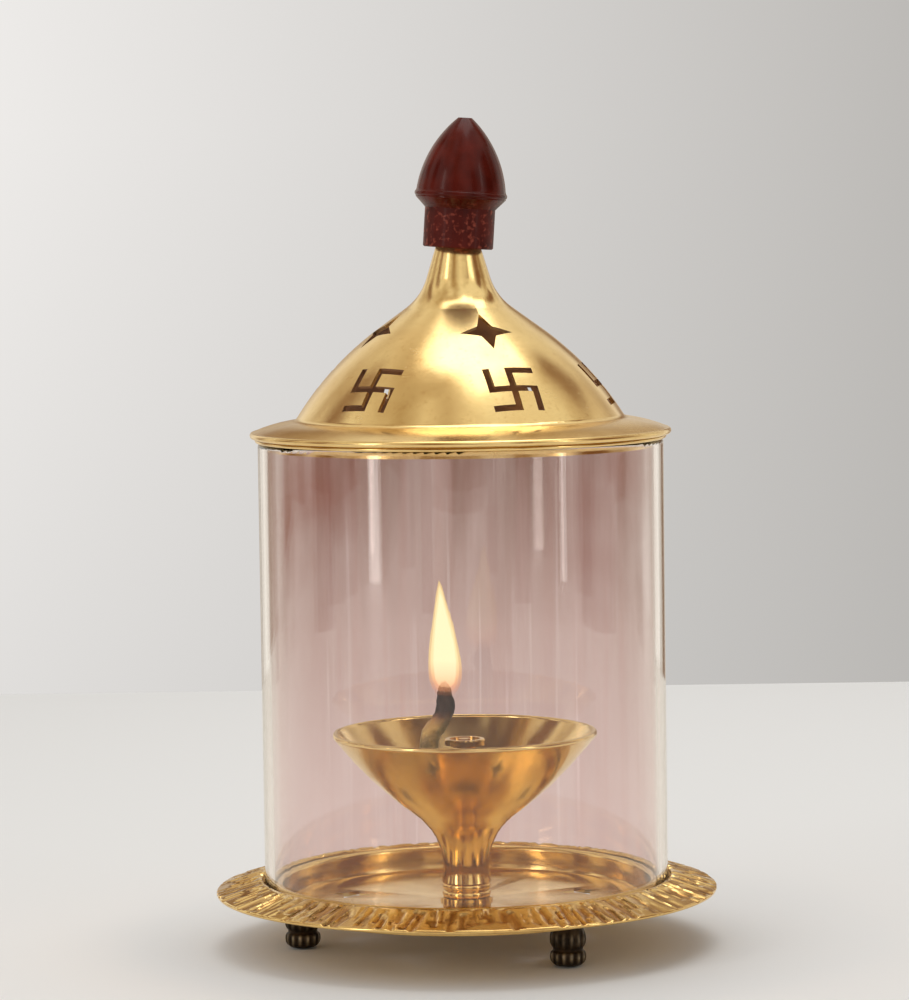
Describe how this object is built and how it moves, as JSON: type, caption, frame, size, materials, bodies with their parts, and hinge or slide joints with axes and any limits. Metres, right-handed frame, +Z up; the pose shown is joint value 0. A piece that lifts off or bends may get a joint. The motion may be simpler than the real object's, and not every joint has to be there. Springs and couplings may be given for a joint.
{
  "type": "oil lamp",
  "caption": "Brass diya oil lamp: oil bowl with cotton wick on a turned stem, round footed plate, glass chimney and pierced domed lid with a turned knob.",
  "frame": {"origin": "on the table, under the middle of the base plate", "axes": "+Z up through the stem, front is -Y, +X to the right as seen from the front"},
  "size_m": [0.1242, 0.1242, 0.2043],
  "materials": {
    "brass_sheet": "polished",
    "brass_turned": "turned and polished",
    "bronze_dark": "antiqued",
    "steel": "plain",
    "glass": "clear, faint rose tint",
    "knob_maroon": "glossy, moulded",
    "cotton": "oil-soaked, charred at the tip"
  },
  "bodies": {
    "base": {"base_plate": "brass_sheet", "foot_front": "bronze_dark", "foot_left": "bronze_dark", "foot_back": "bronze_dark", "foot_screws": "brass_turned", "stem": "brass_turned", "bowl": "brass_sheet", "centre_bolt": "brass_turned", "centre_washer": "steel", "centre_nut": "steel"},
    "glass": {"glass_chimney": "glass"},
    "lid": {"lid_dome": "brass_sheet", "lid_collar": "brass_sheet", "knob": "knob_maroon", "knob_screw": "steel", "knob_washer": "steel"},
    "wick_stand": {"wick_holder": "brass_turned", "wick": "cotton"}
  },
  "joints": [
    {"name": "glass_lift", "type": "slide", "parent": "base", "child": "glass", "axis": [0, 0, 1], "range_m": [0, 0.12]},
    {"name": "lid_lift", "type": "slide", "parent": "glass", "child": "lid", "axis": [0, 0, 1], "range_m": [0, 0.08]},
    {"name": "wick_stand_lift", "type": "slide", "parent": "base", "child": "wick_stand", "axis": [0, 0, 1], "range_m": [0, 0.03]}
  ]
}
